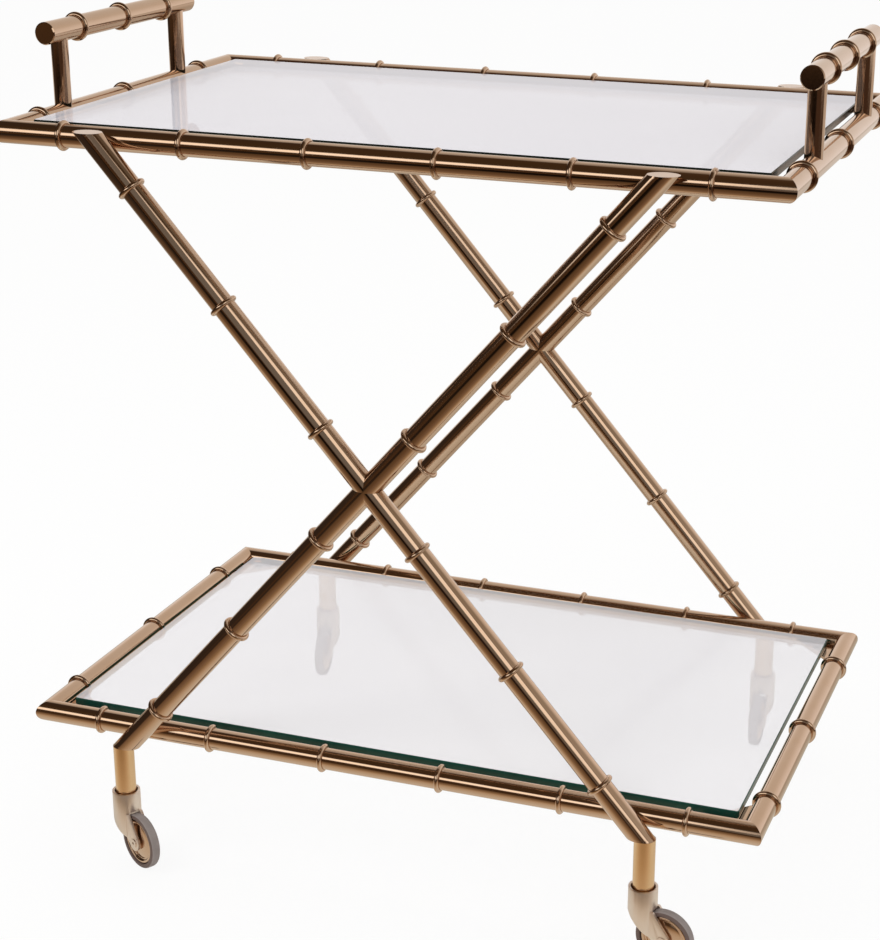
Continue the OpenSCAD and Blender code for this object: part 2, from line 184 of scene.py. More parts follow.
# three soft boxes by the photographer, the last one dim: direction and degrees up, half size, strength
SOFT_BOXES = (((-30, 23), (26, 8), 1.6), ((45, 27), (15, 15), 1.3), ((10, 20), (18, 20), 0.2))
SOFT_BOX_TINT = (1.0, 0.97, 0.9)
# how far a soft box's edge fades in degrees: into it, out to the sides, and out above and below
FADE_IN, FADE_BESIDE, FADE_ABOVE = 3, 3, 4


def colour_at(tree, value, stops):
    """The colour at a value, from stops of (value, hex colour) that begin at 0."""
    reach = stops[-1][0]
    share = add(tree, "ShaderNodeMapRange", Value=value, From_Max=reach)
    ramp = add(tree, "ShaderNodeValToRGB", Fac=share.outputs[0])
    elements = ramp.color_ramp.elements
    while len(elements) < len(stops):
        elements.new(1.0)
    for element, (place, colour) in zip(elements, stops):
        element.position = place / reach
        element.color = linear(colour)
    return ramp.outputs["Color"]


def laid_over(tree, under, over, *edges):
    """One colour over another. Each edge is (value, where the upper colour starts, where it is full)."""
    share = 1.0
    for value, start, full in edges:
        step = add(tree, "ShaderNodeMapRange", {"interpolation_type": "SMOOTHSTEP"}, Value=value,
                   From_Min=start, From_Max=full)
        share = add(tree, "ShaderNodeMath", {"operation": "MULTIPLY"},
                    in_0=share, in_1=step.outputs[0]).outputs[0]
    return add(tree, "ShaderNodeMix", {"data_type": "RGBA"}, in_0=share, in_6=under, in_7=over).outputs[2]


def distance_from(tree, value, middle):
    """How far a value is from a middle one."""
    shifted = add(tree, "ShaderNodeMath", {"operation": "SUBTRACT"}, in_0=value, in_1=middle)
    return add(tree, "ShaderNodeMath", {"operation": "ABSOLUTE"}, in_0=shifted.outputs[0]).outputs[0]


def room_material():
    """Dark cloth, a white sweep and three soft boxes, painted on the dome by their directions."""
    material, tree = new_material("studio_flags_cloth")
    place = add(tree, "ShaderNodeTexCoord").outputs["Object"]
    direction = add(tree, "ShaderNodeVectorMath", {"operation": "NORMALIZE"}, in_0=place).outputs["Vector"]
    parts = add(tree, "ShaderNodeSeparateXYZ", Vector=direction).outputs
    to_front = add(tree, "ShaderNodeMath", {"operation": "MULTIPLY"}, in_0=parts["Y"], in_1=-1.0).outputs[0]
    around = add(tree, "ShaderNodeMath", {"operation": "ARCTAN2"}, in_0=parts["X"], in_1=to_front).outputs[0]
    around = add(tree, "ShaderNodeMath", {"operation": "DEGREES"}, in_0=around).outputs[0]
    up = add(tree, "ShaderNodeMath", {"operation": "ARCSINE"}, in_0=parts["Z"]).outputs[0]
    up = add(tree, "ShaderNodeMath", {"operation": "DEGREES"}, in_0=up).outputs[0]
    colour = colour_at(tree, up, DARK_FRONT)
    for stops, middle, start, full in SIDES:
        colour = laid_over(tree, colour, colour_at(tree, up, stops),
                           (distance_from(tree, around, middle), start, full))
    for (across, above), (half_width, half_height), strength in SOFT_BOXES:
        colour = laid_over(
            tree, colour, (*[strength * channel for channel in SOFT_BOX_TINT], 1.0),
            (distance_from(tree, around, across), half_width + FADE_BESIDE, half_width - FADE_IN),
            (distance_from(tree, up, above), half_height + FADE_ABOVE, half_height - FADE_IN))
    glow = add(tree, "ShaderNodeEmission", Color=colour, Strength=1.0)
    add(tree, "ShaderNodeOutputMaterial", Surface=glow.outputs[0])
    return material


def add_room():
    """The dome that carries the flags: seen by reflections alone, so it lights and hides nothing."""
    mesh = bpy.data.meshes.new("studio_flags")
    shell = bmesh.new()
    bmesh.ops.create_uvsphere(shell, u_segments=64, v_segments=32, radius=DOME_RADIUS)
    bmesh.ops.reverse_faces(shell, faces=shell.faces)
    shell.to_mesh(mesh)
    shell.free()
    mesh.materials.append(room_material())
    room = bpy.data.objects.new("studio_flags", mesh)
    room.location = MIDDLE
    scene.collection.objects.link(room)
    for ray in ("camera", "diffuse", "transmission", "volume_scatter", "shadow"):
        setattr(room, "visible_" + ray, False)


add_room()
print("flags hung, with", len(SOFT_BOXES), "soft boxes")

# %% Floor
FLOOR_SIZE = 16.0
PAPER = "#f8f7f5"
# how much of the shadow on it is washed out for the eye
SHADOW_WASH = 0.9
# the paper as the metal sees it, a painted pool of light that falls off into painted shade: (metres, colour)
# from the lit middle outwards, to the front and the left
FALLING_OFF = [(0, "#e0ded3"), (0.10, "#d6cab6"), (0.18, "#c3ae94"), (0.28, "#a18a6b"), (0.45, "#87705a"),
               (0.75, "#735b42"), (1.28, "#64503a"), (1.7, "#35291e"), (1.95, "#1c1510"), (3, "#17110d")]
# and from under the trolley to the back: painted shade under it, brightening towards the back
BEHIND = [(0, "#c9c5b8"), (1.75, "#c0b7aa"), (2.75, "#dcd4ca"), (4, "#f4efe9"), (5, "#faf5f0")]
# painted shade for a mirror: dark patches of floor to the left and to the front right, and paler paper behind
# on the right. The eye sees white paper in all these places
LEFT_PAINTED_SHADE, RIGHT_PAINTED_SHADE, RIGHT_PAPER = "#3a3028", "#4a382c", "#cfc8be"
# places in metres, where X grows to the right and Y to the back: two edges of the lit middle
LIT_LEFT_X, LIT_FRONT_Y = -0.65, -0.25
# and stretches over which one part gives way to the next: the left painted shade also ends in front and
# behind
TO_BEHIND_Y = (LIT_FRONT_Y, 0.3)
TO_LEFT_X, LEFT_BACK_Y, LEFT_FRONT_Y = (-0.9, -1.7), (1.2, 0.3), (-4.5, -2.5)
TO_RIGHT_X, RIGHT_PAPER_Y = (0.6, 1.6), (0.7, 1.4)


def mirrored_floor(tree):
    """The floor's colour as a mirror sees it: a painted pool of light with painted shade round it."""
    place = add(tree, "ShaderNodeTexCoord").outputs["Object"]
    parts = add(tree, "ShaderNodeSeparateXYZ", Vector=place).outputs
    x, y = parts["X"], parts["Y"]
    ahead = add(tree, "ShaderNodeMath", {"operation": "SUBTRACT"}, in_0=LIT_FRONT_Y, in_1=y)
    leftwards = add(tree, "ShaderNodeMath", {"operation": "SUBTRACT"}, in_0=LIT_LEFT_X, in_1=x)
    away = add(tree, "ShaderNodeMath", {"operation": "MAXIMUM"},
               in_0=ahead.outputs[0], in_1=leftwards.outputs[0])
    colour = laid_over(tree, colour_at(tree, away.outputs[0], FALLING_OFF), colour_at(tree, y, BEHIND),
                       (y, *TO_BEHIND_Y))
    colour = laid_over(tree, colour, linear(LEFT_PAINTED_SHADE),
                       (x, *TO_LEFT_X), (y, *LEFT_BACK_Y), (y, *LEFT_FRONT_Y))
    right = laid_over(tree, linear(RIGHT_PAINTED_SHADE), linear(RIGHT_PAPER), (y, *RIGHT_PAPER_Y))
    return laid_over(tree, colour, right, (x, *TO_RIGHT_X))


def floor_material():
    """Matt white paper: pale with a faint shadow to the eye, painted light and shade of a lit sweep to a
    mirror, plain to the rest.
    """
    material, tree = new_material("studio_floor_matt_paper")
    rays = add(tree, "ShaderNodeLightPath").outputs
    paper = add(tree, "ShaderNodeBsdfDiffuse", Color=linear(PAPER))
    wash = add(tree, "ShaderNodeEmission", Color=(1, 1, 1, 1), Strength=1.0)
    to_eye = add(tree, "ShaderNodeMixShader", Fac=SHADOW_WASH, in_1=paper.outputs[0], in_2=wash.outputs[0])
    to_mirror = add(tree, "ShaderNodeEmission", Color=mirrored_floor(tree), Strength=1.0)
    shown = add(tree, "ShaderNodeMixShader", Fac=rays["Is Camera Ray"],
                in_1=paper.outputs[0], in_2=to_eye.outputs[0])
    shown = add(tree, "ShaderNodeMixShader", Fac=rays["Is Glossy Ray"],
                in_1=shown.outputs[0], in_2=to_mirror.outputs[0])
    add(tree, "ShaderNodeOutputMaterial", Surface=shown.outputs[0])
    return material


def add_floor():
    """A level sheet under the tyres."""
    mesh = bpy.data.meshes.new("studio_floor")
    half = FLOOR_SIZE / 2
    corners = [(-half, -half, 0), (half, -half, 0), (half, half, 0), (-half, half, 0)]
    mesh.from_pydata(corners, [], [(0, 1, 2, 3)])
    mesh.materials.append(floor_material())
    floor = bpy.data.objects.new("studio_floor", mesh)
    scene.collection.objects.link(floor)


add_floor()
print("floor laid,", FLOOR_SIZE, "m wide")

# %% Lamps
def add_lamp(name, place, size, power):
    """A round soft box, in metres and watts, that looks at the trolley and stays out of the reflections."""
    data = bpy.data.lights.new(name, "AREA")
    data.shape = "DISK"
    data.size = size
    data.energy = power
    lamp = bpy.data.objects.new(name, data)
    lamp.location = place
    lamp.rotation_euler = (MIDDLE - Vector(place)).to_track_quat("-Z", "Y").to_euler()
    lamp.visible_glossy = False
    scene.collection.objects.link(lamp)
    print(name, "hung at", place)


add_lamp("key_soft_box", place=(-1.6, -2.2, 3.0), size=1.8, power=26)
add_lamp("top_soft_box", place=(0.3, 0.6, 3.2), size=2.2, power=14)

# %% [markdown]
# ## The metal
# The tubes are steel, plated in brass and polished, so their mirror is sharp but not perfect: plating follows
# the faint waves that buffing leaves, and years of cloths draw hair-fine scratches along them. Both are noise
# on Object coordinates, in real millimetres. The casters come from another maker. They are cast, tumbled and
# plated without polish, which spreads their reflections into a satin.

# %% Metals
WAVE_DEPTH = 0.05 * MM
# most of a noise's values lie between these
NOISE_LOW, NOISE_HIGH = 0.3, 0.7


def metal(name, colour, worn_colour, roughness, rough_spread, wave_mm, scratch_mm, bump):
    """Plated metal: a base colour that shifts by a few percent, waves from buffing and fine scratches."""
    material, tree = new_material(name)
    place = add(tree, "ShaderNodeTexCoord").outputs["Object"]
    wave = add(tree, "ShaderNodeTexNoise", Vector=place, Scale=1 / (wave_mm * MM), Detail=3.0, Roughness=0.5)
    scratch = add(tree, "ShaderNodeTexNoise", Vector=place, Scale=1 / (scratch_mm * MM), Detail=2.0,
                  Roughness=0.6)
    tone = add(tree, "ShaderNodeMix", {"data_type": "RGBA"}, in_0=wave.outputs["Fac"],
               in_6=linear(colour), in_7=linear(worn_colour))
    rough = add(tree, "ShaderNodeMapRange", Value=scratch.outputs["Fac"],
                From_Min=NOISE_LOW, From_Max=NOISE_HIGH,
                To_Min=roughness - rough_spread, To_Max=roughness + rough_spread)
    relief = add(tree, "ShaderNodeBump", Strength=bump, Distance=WAVE_DEPTH, Height=wave.outputs["Fac"])
    body = add(tree, "ShaderNodeBsdfPrincipled", Base_Color=tone.outputs[2], Metallic=1.0,
               Roughness=rough.outputs[0], Normal=relief.outputs[0])
    add(tree, "ShaderNodeOutputMaterial", Surface=body.outputs[0])
    return material


# brass plate over drawn steel tube, buffed: a sharp warm mirror
POLISHED_BRASS = metal("buffed_brass_plate", "#d5b9a3", "#cfae92", roughness=0.09, rough_spread=0.02,
                       wave_mm=38, scratch_mm=1.4, bump=0.25)
# the same plate on the bent and cut feet, which buffing wheels reach less: a little duller. Its deeper golden
# colour is a painted reflection: the glow of the close floor and of brass mirrored in brass
FOOT_BRASS = metal("foot_brass_plate_painted_reflection", "#e9c69f", "#e0b88a", roughness=0.17, rough_spread=0.03,
                   wave_mm=30, scratch_mm=1.4, bump=0.25)
# cast zinc, tumbled and plated pale: a satin with no sharp reflection
SATIN_BRASS = metal("tumbled_pale_brass_plate", "#f7e8de", "#eeddd0", roughness=0.42, rough_spread=0.05,
                    wave_mm=12, scratch_mm=0.8, bump=0.5)
# turned steel of the swivel pins: grey, with lathe lines too fine to show
TURNED_STEEL = metal("turned_bright_steel", "#c4c6c8", "#b3b5b8", roughness=0.28, rough_spread=0.05,
                     wave_mm=8, scratch_mm=0.6, bump=0.3)
print("metals mixed")

# %% [markdown]
# ## Rubber, nylon and clear plastic
# The tyres are moulded rubber, grey-brown and matt, with dust ground into the tread. The thrust washers are
# nylon, and the panes rest on clear bumper pads.

# %% Rubber, nylon and pads
DUST_PATCH_MM = 9
GRAIN_DEPTH = 0.1 * MM
PLASTIC_IOR = 1.5


def moulded(name, colour, dusty_colour, roughness, grain_mm, bump, alpha=1.0):
    """A moulded plastic or rubber: its colour, dust in patches, and the grain of the mould."""
    material, tree = new_material(name)
    place = add(tree, "ShaderNodeTexCoord").outputs["Object"]
    patches = add(tree, "ShaderNodeTexNoise", Vector=place, Scale=1 / (DUST_PATCH_MM * MM), Detail=4.0,
                  Roughness=0.6)
    grain = add(tree, "ShaderNodeTexNoise", Vector=place, Scale=1 / (grain_mm * MM), Detail=1.0)
    tone = add(tree, "ShaderNodeMix", {"data_type": "RGBA"}, in_0=patches.outputs["Fac"],
               in_6=linear(colour), in_7=linear(dusty_colour))
    relief = add(tree, "ShaderNodeBump", Strength=bump, Distance=GRAIN_DEPTH, Height=grain.outputs["Fac"])
    body = add(tree, "ShaderNodeBsdfPrincipled", Base_Color=tone.outputs[2], Roughness=roughness,
               IOR=PLASTIC_IOR, Normal=relief.outputs[0], Alpha=alpha)
    add(tree, "ShaderNodeOutputMaterial", Surface=body.outputs[0])
    return material


# moulded rubber, never polished: a broad dull sheen, brown-grey on the side walls
TYRE_RUBBER = moulded("moulded_grey_rubber", "#5c4a44", "#6d5a53", roughness=0.55, grain_mm=0.7, bump=0.4)
# the same rubber, paler on the tread
TREAD_RUBBER = moulded("pale_tread_grey_rubber", "#857a76", "#9c928e", roughness=0.7, grain_mm=0.7, bump=0.5)
# turned nylon: waxy and pale
NYLON = moulded("turned_nylon", "#e6e1d6", "#dcd6c8", roughness=0.45, grain_mm=0.8, bump=0.2)
# cast clear vinyl: soft, slightly hazy
CLEAR_VINYL = moulded("cast_clear_vinyl", "#e9eae6", "#dfe0dc", roughness=0.25, grain_mm=0.9, bump=0.2,
                      alpha=0.55)
print("rubber and plastics mixed")

# %% [markdown]
# ## The glass
# The panes are float glass. Seen flat on it is nearly clear, and at the photograph's low angle it mirrors the
# white studio and looks milky. A principled surface whose alpha rises as it turns away from the eye gives
# both. Its IOR is below the 1.5 of clean glass, because the haze weakens the mirror, and a full one would
# show the dark flags to anyone who looks along the panes from behind. The long way through the pane makes its
# ground edge dark green.

# %% Glass
HAZE_PATCH_MM = 160
HAZY_IOR, GROUND_IOR = 1.2, 1.5
# the haze's alpha where the pane is faced, and how steeply it rises to 1 as the pane turns away
FACED_HAZE, HAZE_RISE = 0.15, 1.6
# the haze is thin: a tube's mirror looks along the pane and through it, and sees this much of it
MIRRORED_HAZE = 0.12
STREAK_MM = 25
# light leaves a pane through its edge, so the edge has this alpha from inside
EDGE_FROM_INSIDE = 0.15


def float_glass(name, colour, clearer_colour):
    """Float glass under a thin haze: clearer where it is faced, milky and mirror-like at a low angle."""
    material, tree = new_material(name)
    place = add(tree, "ShaderNodeTexCoord").outputs["Object"]
    haze = add(tree, "ShaderNodeTexNoise", Vector=place, Scale=1 / (HAZE_PATCH_MM * MM), Detail=2.0)
    tone = add(tree, "ShaderNodeMix", {"data_type": "RGBA"}, in_0=haze.outputs["Fac"],
               in_6=linear(colour), in_7=linear(clearer_colour))
    turned = add(tree, "ShaderNodeLayerWeight", Blend=0.5).outputs["Facing"]
    turned = add(tree, "ShaderNodeMath", {"operation": "POWER"}, in_0=turned, in_1=HAZE_RISE).outputs[0]
    veil = add(tree, "ShaderNodeMapRange", Value=turned, To_Min=FACED_HAZE, To_Max=1.0)
    mirrored = add(tree, "ShaderNodeLightPath").outputs["Is Glossy Ray"]
    share = add(tree, "ShaderNodeMapRange", Value=mirrored, To_Min=1.0, To_Max=MIRRORED_HAZE)
    veil = add(tree, "ShaderNodeMath", {"operation": "MULTIPLY"}, in_0=veil.outputs[0], in_1=share.outputs[0])
    body = add(tree, "ShaderNodeBsdfPrincipled", Base_Color=tone.outputs[2], Roughness=0.02, IOR=HAZY_IOR,
               Alpha=veil.outputs[0])
    add(tree, "ShaderNodeOutputMaterial", Surface=body.outputs[0])
    return material


def ground_edge(name, colour, streak_colour):
    """The edge, ground and lightly polished: dark green, brighter in streaks where the wheel cut deeper."""
    material, tree = new_material(name)
    place = add(tree, "ShaderNodeTexCoord").outputs["Object"]
    streaks = add(tree, "ShaderNodeTexNoise", Vector=place, Scale=1 / (STREAK_MM * MM), Detail=3.0)
    tone = add(tree, "ShaderNodeMix", {"data_type": "RGBA"}, in_0=streaks.outputs["Fac"],
               in_6=linear(colour), in_7=linear(streak_colour))
    inside = add(tree, "ShaderNodeNewGeometry").outputs["Backfacing"]
    solid = add(tree, "ShaderNodeMapRange", Value=inside, To_Min=1.0, To_Max=EDGE_FROM_INSIDE)
    body = add(tree, "ShaderNodeBsdfPrincipled", Base_Color=tone.outputs[2], Roughness=0.22, IOR=GROUND_IOR,
               Alpha=solid.outputs[0])
    add(tree, "ShaderNodeOutputMaterial", Surface=body.outputs[0])
    return material


# float glass in two tones: greyer on the upper pane, brighter on the lower one
PANE_GLASS = {"upper": float_glass("upper_tray_float_glass", "#dad8df", "#dfdde3"),
              "lower": float_glass("lower_tray_float_glass", "#f0eef2", "#f5f3f5")}
# ground edges: the long way through the pane turns them green, and the upper tray's rails shade its own to
# near black
GROUND_EDGE = {"upper": ground_edge("shaded_ground_glass", "#0b1613", "#15261f"),
               "lower": ground_edge("ground_glass", "#103a31", "#1f5548")}
print("glass mixed")

# %% [markdown]
# ## The two panes
# A real pane has no sharp edges: they are ground flat and then broken by a narrow slope, the arris, which
# catches a line of light. The outline is a rounded rectangle, drawn once at four levels from the pane's own
# CAD box.

# %% Panes
ARRIS = 0.9 * MM
CORNER_RADIUS = 3 * MM
CORNER_STEPS = 8


def rounded_outline(low, high, inset):
    """Points of a rounded rectangle between two corners, drawn in by inset."""
    points = []
    for sx, sy, start in ((1, 1, 0), (-1, 1, 90), (-1, -1, 180), (1, -1, 270)):
        centre_x = (high if sx > 0 else low)[0] - sx * CORNER_RADIUS
        centre_y = (high if sy > 0 else low)[1] - sy * CORNER_RADIUS
        for i in range(CORNER_STEPS + 1):
            angle = math.radians(start + 90 * i / CORNER_STEPS)
            points.append((centre_x + (CORNER_RADIUS - inset) * math.cos(angle),
                           centre_y + (CORNER_RADIUS - inset) * math.sin(angle)))
    return points


def add_piece(name, mesh, body, slot, *replaced):
    """Puts a finished mesh in the scene as a piece that rides on a body and stands for some nodes."""
    piece = bpy.data.objects.new(name, mesh)
    scene.collection.objects.link(piece)
    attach(piece, body)
    if replaced:
        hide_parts(*replaced)
    return piece


def add_pane(name, node, glass, edge):
    """A glass pane with ground edges in place of its node."""
    low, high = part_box(node)
    levels = [(low[2], ARRIS), (low[2] + ARRIS, 0), (high[2] - ARRIS, 0), (high[2], ARRIS)]
    pane = bmesh.new()
    rings = [[pane.verts.new((x, y, z)) for x, y in rounded_outline(low, high, inset)] for z, inset in levels]
    count = len(rings[0])
    pane.faces.new(reversed(rings[0]))
    pane.faces.new(rings[-1])
    for lower, upper in zip(rings, rings[1:]):
        for i in range(count):
            j = (i + 1) % count
            pane.faces.new((lower[i], lower[j], upper[j], upper[i])).material_index = 1
    mesh = bpy.data.meshes.new(name)
    pane.to_mesh(mesh)
    pane.free()
    mesh.materials.append(glass)
    mesh.materials.append(edge)
    return add_piece(name, mesh, "frame", "clear_glass", node)


for tray in ("upper", "lower"):
    pane = add_pane(f"{tray}_pane", f"{tray}_glass", PANE_GLASS[tray], GROUND_EDGE[tray])
    print(pane.name, [round(v / MM, 1) for v in pane.dimensions], "mm")

# %% [markdown]
# ## The bamboo beads
# Brass beads, half round, are slid onto every tube and soldered, so that it looks like bamboo. They are all
# the same shape, which is work for Geometry Nodes: one tree bends a grid into a bead and sets a copy on each
# point. The points are the CAD rings' own centres, found in the frame, and each carries the direction of its
# tube.

# %% Where the beads sit
# corners closer than this, in metres, are one
WELD = 1e-6
Seat = namedtuple("Seat", "centre along width radius")


def loose_parts(node):
    """The corner points of each separate solid in a node."""
    shape = bmesh.new()
    shape.from_mesh(nodes[node].data)
    bmesh.ops.remove_doubles(shape, verts=shape.verts, dist=WELD)
    left, parts = set(shape.verts), []
    for start in shape.verts:
        if start not in left:
            continue
        left.discard(start)
        part = [start]
        for vert in part:  # the list grows as it is walked
            for neighbour in (edge.other_vert(vert) for edge in vert.link_edges):
                if neighbour in left:
                    left.discard(neighbour)
                    part.append(neighbour)
        parts.append(numpy.array([vert.co[:] for vert in part]))
    shape.free()
    return parts


def ring_seats(node):
    """For each ring of a node: its centre, the direction of its tube, its width and its outside radius."""
    seats = []
    for points in loose_parts(node):
        centre = (points.min(axis=0) + points.max(axis=0)) / 2
        spokes = points - centre
        # a ring is flat, so it is thinnest along its tube
        along = numpy.linalg.eigh(numpy.cov(spokes.T))[1][:, 0]
        reach = spokes @ along
        radius = numpy.linalg.norm(spokes - numpy.outer(reach, along), axis=1).max()
        seats.append(Seat(centre, along, reach.max() - reach.min(), radius))
    return seats


TUBE_RADIUS = (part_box("upper_front_rail")[1][2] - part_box("upper_front_rail")[0][2]) / 2
bead_seats = {node: ring_seats(node) for node in nodes if node.endswith("_rings")}
BEAD_WIDTH = bead_seats["handle_rings"][0].width
BEAD_RISE = bead_seats["handle_rings"][0].radius - TUBE_RADIUS
# the bore stands off the tube by this much, so that the two skins don't fight
BORE_GAP = 0.03 * MM
print({node: len(seats) for node, seats in bead_seats.items()}, "beads; tube", round(TUBE_RADIUS / MM, 2),
      "rise", round(BEAD_RISE / MM, 2), "width", round(BEAD_WIDTH / MM, 2), "mm")

# %% The bead tree
# points of the grid round the tube and round the bead; the last lies on the first
ROUND_TUBE, ROUND_BEAD = 73, 21


def bead_tree():
    """Geometry Nodes: a half-round bead with a straight bore, set on each point along its own direction."""
    tree = bpy.data.node_groups.new("bamboo_beads", "GeometryNodeTree")
    tree.interface.new_socket("Geometry", in_out="INPUT", socket_type="NodeSocketGeometry")
    tree.interface.new_socket("Geometry", in_out="OUTPUT", socket_type="NodeSocketGeometry")
    for name in ("Tube Radius", "Bead Rise", "Bead Width"):
        tree.interface.new_socket(name, in_out="INPUT", socket_type="NodeSocketFloat")
    given = tree.nodes.new("NodeGroupInput").outputs
    grid = add(tree, "GeometryNodeMeshGrid", Size_X=1.0, Size_Y=1.0, Vertices_X=ROUND_TUBE,
               Vertices_Y=ROUND_BEAD)
    where = add(tree, "ShaderNodeSeparateXYZ", Vector=grid.outputs["UV Map"]).outputs
    turn = add(tree, "ShaderNodeMath", {"operation": "MULTIPLY"}, in_0=where["X"], in_1=math.tau).outputs[0]
    curl = add(tree, "ShaderNodeMath", {"operation": "MULTIPLY"}, in_0=where["Y"], in_1=math.tau).outputs[0]
    # the bead's outline: half round outside, and the straight bore where its sine is below 0
    rise = add(tree, "ShaderNodeMath", {"operation": "SINE"}, in_0=curl)
    rise = add(tree, "ShaderNodeMath", {"operation": "MAXIMUM"}, in_0=rise.outputs[0], in_1=0.0)
    radius = add(tree, "ShaderNodeMath", {"operation": "MULTIPLY_ADD"}, in_0=rise.outputs[0],
                 in_1=given["Bead Rise"], in_2=given["Tube Radius"]).outputs[0]
    across = add(tree, "ShaderNodeMath", {"operation": "COSINE"}, in_0=curl)
    half = add(tree, "ShaderNodeMath", {"operation": "MULTIPLY"}, in_0=given["Bead Width"], in_1=-0.5)
    across = add(tree, "ShaderNodeMath", {"operation": "MULTIPLY"},
                 in_0=across.outputs[0], in_1=half.outputs[0])
    # and that outline taken round the tube
    cosine = add(tree, "ShaderNodeMath", {"operation": "COSINE"}, in_0=turn)
    sine = add(tree, "ShaderNodeMath", {"operation": "SINE"}, in_0=turn)
    x = add(tree, "ShaderNodeMath", {"operation": "MULTIPLY"}, in_0=radius, in_1=cosine.outputs[0])
    y = add(tree, "ShaderNodeMath", {"operation": "MULTIPLY"}, in_0=radius, in_1=sine.outputs[0])
    place = add(tree, "ShaderNodeCombineXYZ", X=x.outputs[0], Y=y.outputs[0], Z=across.outputs[0])
    bead = add(tree, "GeometryNodeSetPosition", Geometry=grid.outputs["Mesh"], Position=place.outputs[0])
    bead = add(tree, "GeometryNodeMergeByDistance", Geometry=bead.outputs[0], Distance=WELD)
    along = add(tree, "GeometryNodeInputNamedAttribute", {"data_type": "FLOAT_VECTOR"}, Name="along")
    turned = add(tree, "FunctionNodeAlignRotationToVector", {"axis": "Z"}, Vector=along.outputs["Attribute"])
    points = add(tree, "GeometryNodeMeshToPoints", Mesh=given["Geometry"])
    beads = add(tree, "GeometryNodeInstanceOnPoints", Points=points.outputs[0], Instance=bead.outputs[0],
                Rotation=turned.outputs[0])
    beads = add(tree, "GeometryNodeRealizeInstances", Geometry=beads.outputs[0])
    beads = add(tree, "GeometryNodeSetShadeSmooth", Geometry=beads.outputs[0])
    beads = add(tree, "GeometryNodeSetMaterial", Geometry=beads.outputs[0], Material=POLISHED_BRASS)
    add(tree, "NodeGroupOutput", in_0=beads.outputs[0])
    return tree


# %% Beads on every tube
def applied(name, mesh, kind, settings, sizes=None):
    """A mesh as a modifier leaves it, made plain. Geometry Nodes also take their tree's sizes by name."""
    carrier = bpy.data.objects.new(name, mesh)
    scene.collection.objects.link(carrier)
    modifier = carrier.modifiers.new(name, kind)
    for setting, value in settings.items():
        setattr(modifier, setting, value)
    if sizes:
        for item in modifier.node_group.interface.items_tree:
            if item.in_out == "INPUT" and item.name in sizes:
                modifier[item.identifier] = sizes[item.name]
    result = bpy.data.meshes.new_from_object(carrier.evaluated_get(bpy.context.evaluated_depsgraph_get()))
    bpy.data.objects.remove(carrier)
    result.name = name
    return result


def outwards(mesh):
    """Turns every face of a closed mesh outwards."""
    shape = bmesh.new()
    shape.from_mesh(mesh)
    bmesh.ops.recalc_face_normals(shape, faces=shape.faces)
    shape.to_mesh(mesh)
    shape.free()
    return mesh


BEADS = bead_tree()
BEAD_SIZES = {"Tube Radius": TUBE_RADIUS + BORE_GAP, "Bead Rise": BEAD_RISE, "Bead Width": BEAD_WIDTH}
for node, seats in bead_seats.items():
    points = bpy.data.meshes.new(node + "_seats")
    points.from_pydata([tuple(seat.centre) for seat in seats], [], [])
    directions = numpy.array([seat.along for seat in seats], dtype=numpy.float32)
    points.attributes.new("along", "FLOAT_VECTOR", "POINT").data.foreach_set("vector", directions.ravel())
    mesh = applied(node.replace("_rings", "_beads"), points, "NODES", {"node_group": BEADS}, BEAD_SIZES)
    piece = add_piece(mesh.name, outwards(mesh), "frame", "polished_brass", node)
    print(piece.name, len(seats), "beads,", len(mesh.polygons), "faces")

# %% [markdown]
# ## The wheels
# Wheel and tyre are turned shapes, so both are lathed: an outline from the bore outwards, spun about the
# axle. The real wheel is a shallow dome round the boss, a groove, and a raised rim that holds the tyre.

# %% Lathe
LATHE_STEPS = 96


def lathed(name, outline, centre, axle, sharp_from):
    """A closed outline of (radius, place along the axle) points, spun about the axle.

    It is smooth, but for edges that turn by sharp_from degrees or more."""
    turn = axle.to_track_quat("Z", "Y").to_matrix()
    angles = [math.tau * i / LATHE_STEPS for i in range(LATHE_STEPS)]
    shape = bmesh.new()
    rings = []
    for radius, along in outline:
        ring = [Vector((radius * math.cos(angle), radius * math.sin(angle), along)) for angle in angles]
        rings.append([shape.verts.new(centre + turn @ place) for place in ring])
    for near, far in zip(rings, rings[1:] + rings[:1]):
        for i in range(LATHE_STEPS):
            j = (i + 1) % LATHE_STEPS
            shape.faces.new((near[i], near[j], far[j], far[i]))
    bmesh.ops.recalc_face_normals(shape, faces=shape.faces)
    for face in shape.faces:
        face.smooth = True
    for edge in shape.edges:
        edge.smooth = edge.calc_face_angle(0) < math.radians(sharp_from)
    mesh = bpy.data.meshes.new(name)
    shape.to_mesh(mesh)
    shape.free()
    return mesh


def arc(centre, radius, start, end, steps):
    """Points of an arc in the outline's plane: 0 degrees points away from the axle, 90 along it."""
    angles = [math.radians(start + (end - start) * i / steps) for i in range(steps + 1)]
    return [(centre[0] + radius * math.cos(angle), centre[1] + radius * math.sin(angle)) for angle in angles]


def mirrored(half_outline):
    """A whole outline from its half on one side of the wheel's middle plane."""
    return half_outline + [(radius, -along) for radius, along in reversed(half_outline)]


# %% Outlines of wheel and tyre
# radii of the bore, the boss, the dome's start and end, and the middle of the groove
BORE, BOSS, DOME_START, DOME_END, GROOVE = 3.08 * MM, 6 * MM, 6.5 * MM, 18.1 * MM, 19.4 * MM
BOSS_ROUND = 0.6 * MM
# how far the dome falls by its end: as a slope, and more as a bend
DOME_SLOPE, DOME_BEND = 0.3 * MM, 1.9 * MM
DOME_SHARES = (0, 0.15, 0.3, 0.45, 0.6, 0.75, 0.88, 1.0)
